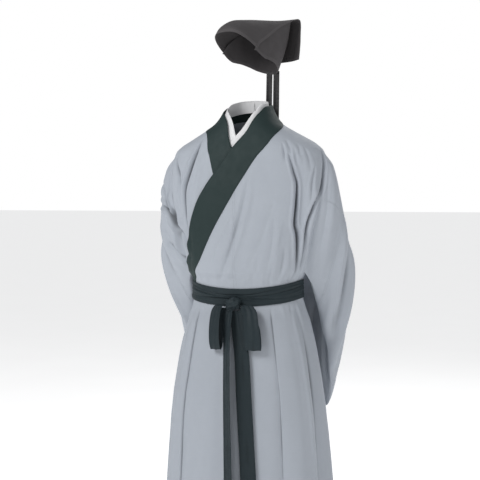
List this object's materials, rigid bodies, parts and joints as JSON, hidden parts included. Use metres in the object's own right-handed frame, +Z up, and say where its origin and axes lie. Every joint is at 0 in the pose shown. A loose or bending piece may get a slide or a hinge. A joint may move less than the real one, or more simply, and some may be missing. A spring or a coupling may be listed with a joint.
{
  "type": "hanfu dance costume",
  "caption": "Long cross-collared scholar's robe with wide sleeves drawn behind the back, tied sash, white under-collar and soft cap with ribbons, shaped as worn.",
  "frame": {"origin": "middle of the wearer's neck, at the height where the shoulders meet it", "axes": "+Z up; the front faces -Y; +X is the wearer's left"},
  "size_m": [0.6038, 0.4566, 1.6795],
  "materials": {
    "robe_cloth": "matt pale grey plain weave",
    "collar_cloth": "matt dark green plain weave",
    "sash_cloth": "soft dark green crepe",
    "under_cloth": "matt white cotton",
    "cap_cloth": "matt black gauze",
    "ribbon_cloth": "black ribbon with a low sheen"
  },
  "bodies": {
    "root": {"body_left": "robe_cloth", "body_right": "robe_cloth", "overlap_outer": "robe_cloth", "overlap_inner": "robe_cloth", "sleeve_left": "robe_cloth", "sleeve_right": "robe_cloth", "collar_left": "collar_cloth", "collar_right": "collar_cloth", "under_collar_left": "under_cloth", "under_collar_right": "under_cloth", "sash_wrap": "sash_cloth", "sash_knot": "sash_cloth", "sash_tail_left": "sash_cloth", "sash_tail_right": "sash_cloth", "bow_loop_left": "sash_cloth", "bow_loop_right": "sash_cloth", "cap_cover": "cap_cloth", "cap_back": "cap_cloth", "cap_ribbon_left": "ribbon_cloth", "cap_ribbon_right": "ribbon_cloth"}
  },
  "joints": []
}
